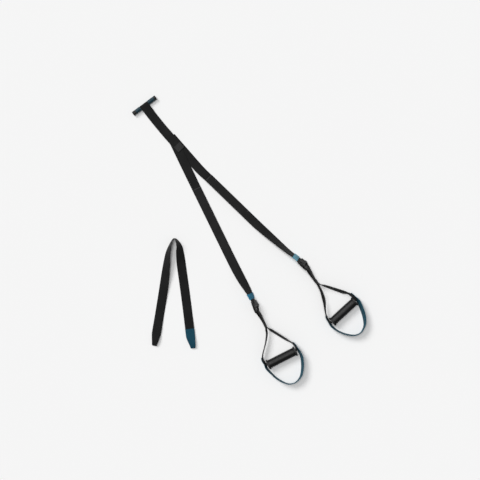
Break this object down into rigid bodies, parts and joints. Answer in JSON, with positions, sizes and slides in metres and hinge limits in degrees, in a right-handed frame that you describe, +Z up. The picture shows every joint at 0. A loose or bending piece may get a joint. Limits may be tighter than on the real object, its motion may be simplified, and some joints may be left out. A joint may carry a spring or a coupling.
{
  "type": "suspension trainer",
  "caption": "Suspension trainer laid flat: door bar and strap, adjustable legs with cam buckles, foam-grip handles with foot loops, and a loose extension strap.",
  "frame": {"origin": "on the floor under the middle of the whole layout", "axes": "+Z up; the trainer lies flat, with its door bar towards -X and +Y and its handles towards +X and -Y; the extension strap lies at -X"},
  "size_m": [0.9748, 1.2038, 0.0479],
  "materials": {
    "black_webbing": "tightly woven black nylon webbing",
    "blue_webbing": "woven dark teal-blue nylon webbing",
    "patch_webbing": "dark grey woven reinforcing patch",
    "thread": "black bonded thread",
    "blue_plastic": "dark petrol-blue moulded sleeve",
    "black_plastic": "black moulded plastic",
    "black_metal": "black coated steel",
    "bright_steel": "plain steel",
    "grip_foam": "black foam rubber"
  },
  "bodies": {
    "straps": {"anchor_strap": "black_webbing", "anchor_loop_stitching": "thread", "junction_patch": "patch_webbing", "junction_stitching": "thread", "right_leg_strap": "black_webbing", "left_leg_strap": "black_webbing"},
    "door_bar": {"anchor_bar_cap_lower": "black_plastic", "anchor_bar_cap_upper": "black_plastic", "anchor_bar_core": "black_metal", "anchor_bar_sleeve_lower": "blue_plastic", "anchor_bar_sleeve_upper": "blue_plastic"},
    "extension": {"extension_eye_left": "black_webbing", "extension_eye_right": "blue_webbing", "extension_stitching_left": "thread", "extension_stitching_right": "thread", "extension_strap": "black_webbing"},
    "right_adjuster": {"right_strap_tail": "black_webbing", "right_strap_keeper": "blue_webbing", "right_buckle_frame": "black_metal", "right_cam_pin": "bright_steel", "right_cam_spring": "bright_steel"},
    "right_cam": {"right_cam_lever": "black_plastic"},
    "right_handle": {"right_yoke": "black_webbing", "right_yoke_stitching": "thread", "right_foot_loop": "blue_webbing", "right_foot_stitching_outer": "thread", "right_foot_stitching_inner": "thread"},
    "right_grip": {"right_grip_tube": "black_plastic", "right_grip_foam": "grip_foam", "right_grip_cap_outer": "black_plastic", "right_grip_cap_inner": "black_plastic"},
    "left_adjuster": {"left_strap_tail": "black_webbing", "left_strap_keeper": "blue_webbing", "left_buckle_frame": "black_metal", "left_cam_pin": "bright_steel", "left_cam_spring": "bright_steel"},
    "left_cam": {"left_cam_lever": "black_plastic"},
    "left_handle": {"left_yoke": "black_webbing", "left_yoke_stitching": "thread", "left_foot_loop": "blue_webbing", "left_foot_stitching_outer": "thread", "left_foot_stitching_inner": "thread"},
    "left_grip": {"left_grip_tube": "black_plastic", "left_grip_foam": "grip_foam", "left_grip_cap_outer": "black_plastic", "left_grip_cap_inner": "black_plastic"}
  },
  "joints": [
    {"name": "door_bar_spin", "type": "hinge", "parent": "straps", "child": "door_bar", "pos_m": [-0.4353, 0.56026, 0.00906], "axis": [-0.8039, -0.5948, 0], "continuous": true},
    {"name": "extension_lift", "type": "slide", "parent": "straps", "child": "extension", "axis": [0, 0, 1], "range_m": [0, 0.3]},
    {"name": "right_length_adjust", "type": "slide", "parent": "straps", "child": "right_adjuster", "axis": [0.7181, -0.6959, 0], "range_m": [0, 0.24]},
    {"name": "right_cam_release", "type": "hinge", "parent": "right_adjuster", "child": "right_cam", "pos_m": [0.23182, -0.09726, 0.02497], "axis": [0.3096, 0.332, -0.891], "range_deg": [0, 20], "stiffness_Nm_per_rad": 0.05},
    {"name": "right_handle_swing", "type": "hinge", "parent": "right_adjuster", "child": "right_handle", "pos_m": [0.24554, -0.1192, 0.02157], "axis": [-0.3096, -0.332, 0.891], "range_deg": [0, 60]},
    {"name": "right_grip_spin", "type": "hinge", "parent": "right_handle", "child": "right_grip", "pos_m": [0.39398, -0.29793, 0.02056], "axis": [0.7349, 0.6782, 0], "continuous": true},
    {"name": "left_length_adjust", "type": "slide", "parent": "straps", "child": "left_adjuster", "axis": [0.4384, -0.8988, 0], "range_m": [0, 0.24]},
    {"name": "left_cam_release", "type": "hinge", "parent": "left_adjuster", "child": "left_cam", "pos_m": [0.03258, -0.27225, 0.02467], "axis": [0.3049, 0.114, -0.9455], "range_deg": [0, 20], "stiffness_Nm_per_rad": 0.05},
    {"name": "left_handle_swing", "type": "hinge", "parent": "left_adjuster", "child": "left_handle", "pos_m": [0.03469, -0.29815, 0.02223], "axis": [-0.3049, -0.114, 0.9455], "range_deg": [0, 60]},
    {"name": "left_grip_spin", "type": "hinge", "parent": "left_handle", "child": "left_grip", "pos_m": [0.13711, -0.49052, 0.02056], "axis": [0.891, 0.454, 0], "continuous": true}
  ]
}
